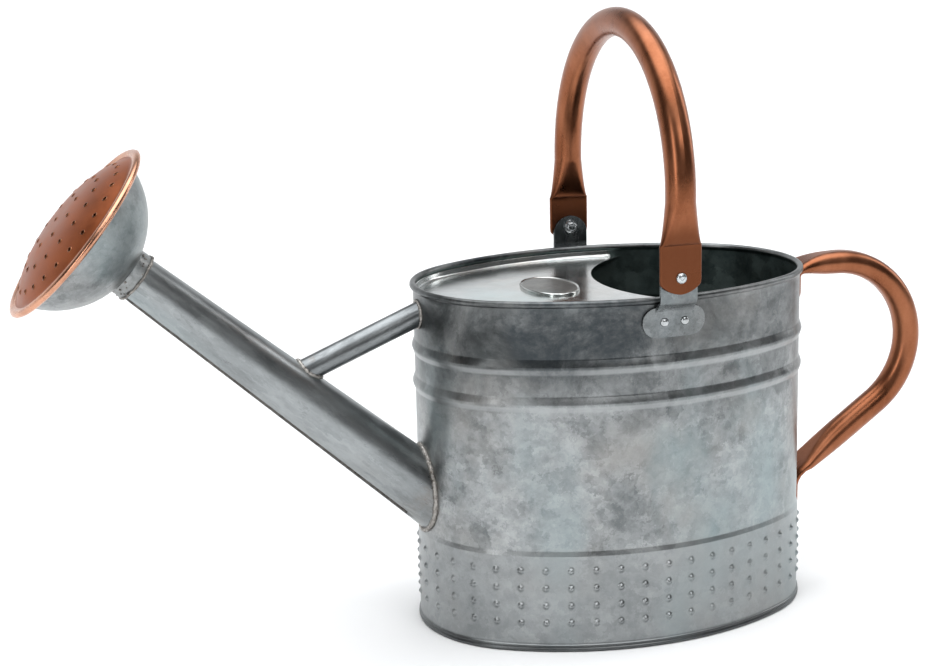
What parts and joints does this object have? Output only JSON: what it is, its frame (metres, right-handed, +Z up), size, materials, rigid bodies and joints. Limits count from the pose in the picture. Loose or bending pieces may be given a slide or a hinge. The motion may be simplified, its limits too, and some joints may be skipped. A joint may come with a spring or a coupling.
{
  "type": "watering can",
  "caption": "Oval galvanised watering can with a half cover, a swinging carrying bail, a fixed rear handle, a braced spout and a perforated rose.",
  "frame": {"origin": "centre of the can's foot, on the ground", "axes": "+Z up; the spout and rose point to -X and the rear handle to +X; the can is alike on its two Y sides"},
  "size_m": [0.5553, 0.1952, 0.3601],
  "materials": {
    "galvanised_sheet": "satin grey zinc with a mottled spangle",
    "galvanised_cover": "satin light grey zinc",
    "plaque_metal": "satin, with a bright raised edge",
    "rivet_steel": "satin",
    "copper_finish": "satin copper colour over steel",
    "weld_metal": "rough, slightly heat tinted"
  },
  "bodies": {
    "can": {"body_wall": "galvanised_sheet", "base_plate": "galvanised_sheet", "top_cover": "galvanised_cover", "badge_plate": "plaque_metal", "ear_front": "galvanised_sheet", "ear_back": "galvanised_sheet", "ear_rivets_front": "rivet_steel", "ear_rivets_back": "rivet_steel", "pivot_rivet_front": "rivet_steel", "pivot_rivet_back": "rivet_steel", "pivot_washers": "rivet_steel", "rear_handle": "copper_finish", "rear_rivets_top": "rivet_steel", "rear_rivets_bottom": "rivet_steel", "spout_tube": "galvanised_sheet", "spout_weld": "weld_metal", "spout_brace": "galvanised_sheet", "brace_weld_wall": "weld_metal", "brace_weld_spout": "weld_metal", "rose_collar": "galvanised_sheet", "rose_weld": "weld_metal", "rose_bowl": "galvanised_sheet", "rose_face": "copper_finish"},
    "bail": {"bail_handle": "copper_finish"}
  },
  "joints": [
    {"name": "bail_swing", "type": "hinge", "parent": "can", "child": "bail", "pos_m": [0.008, 0, 0.2177], "axis": [0, 1, 0], "range_deg": [-91, 90]}
  ]
}
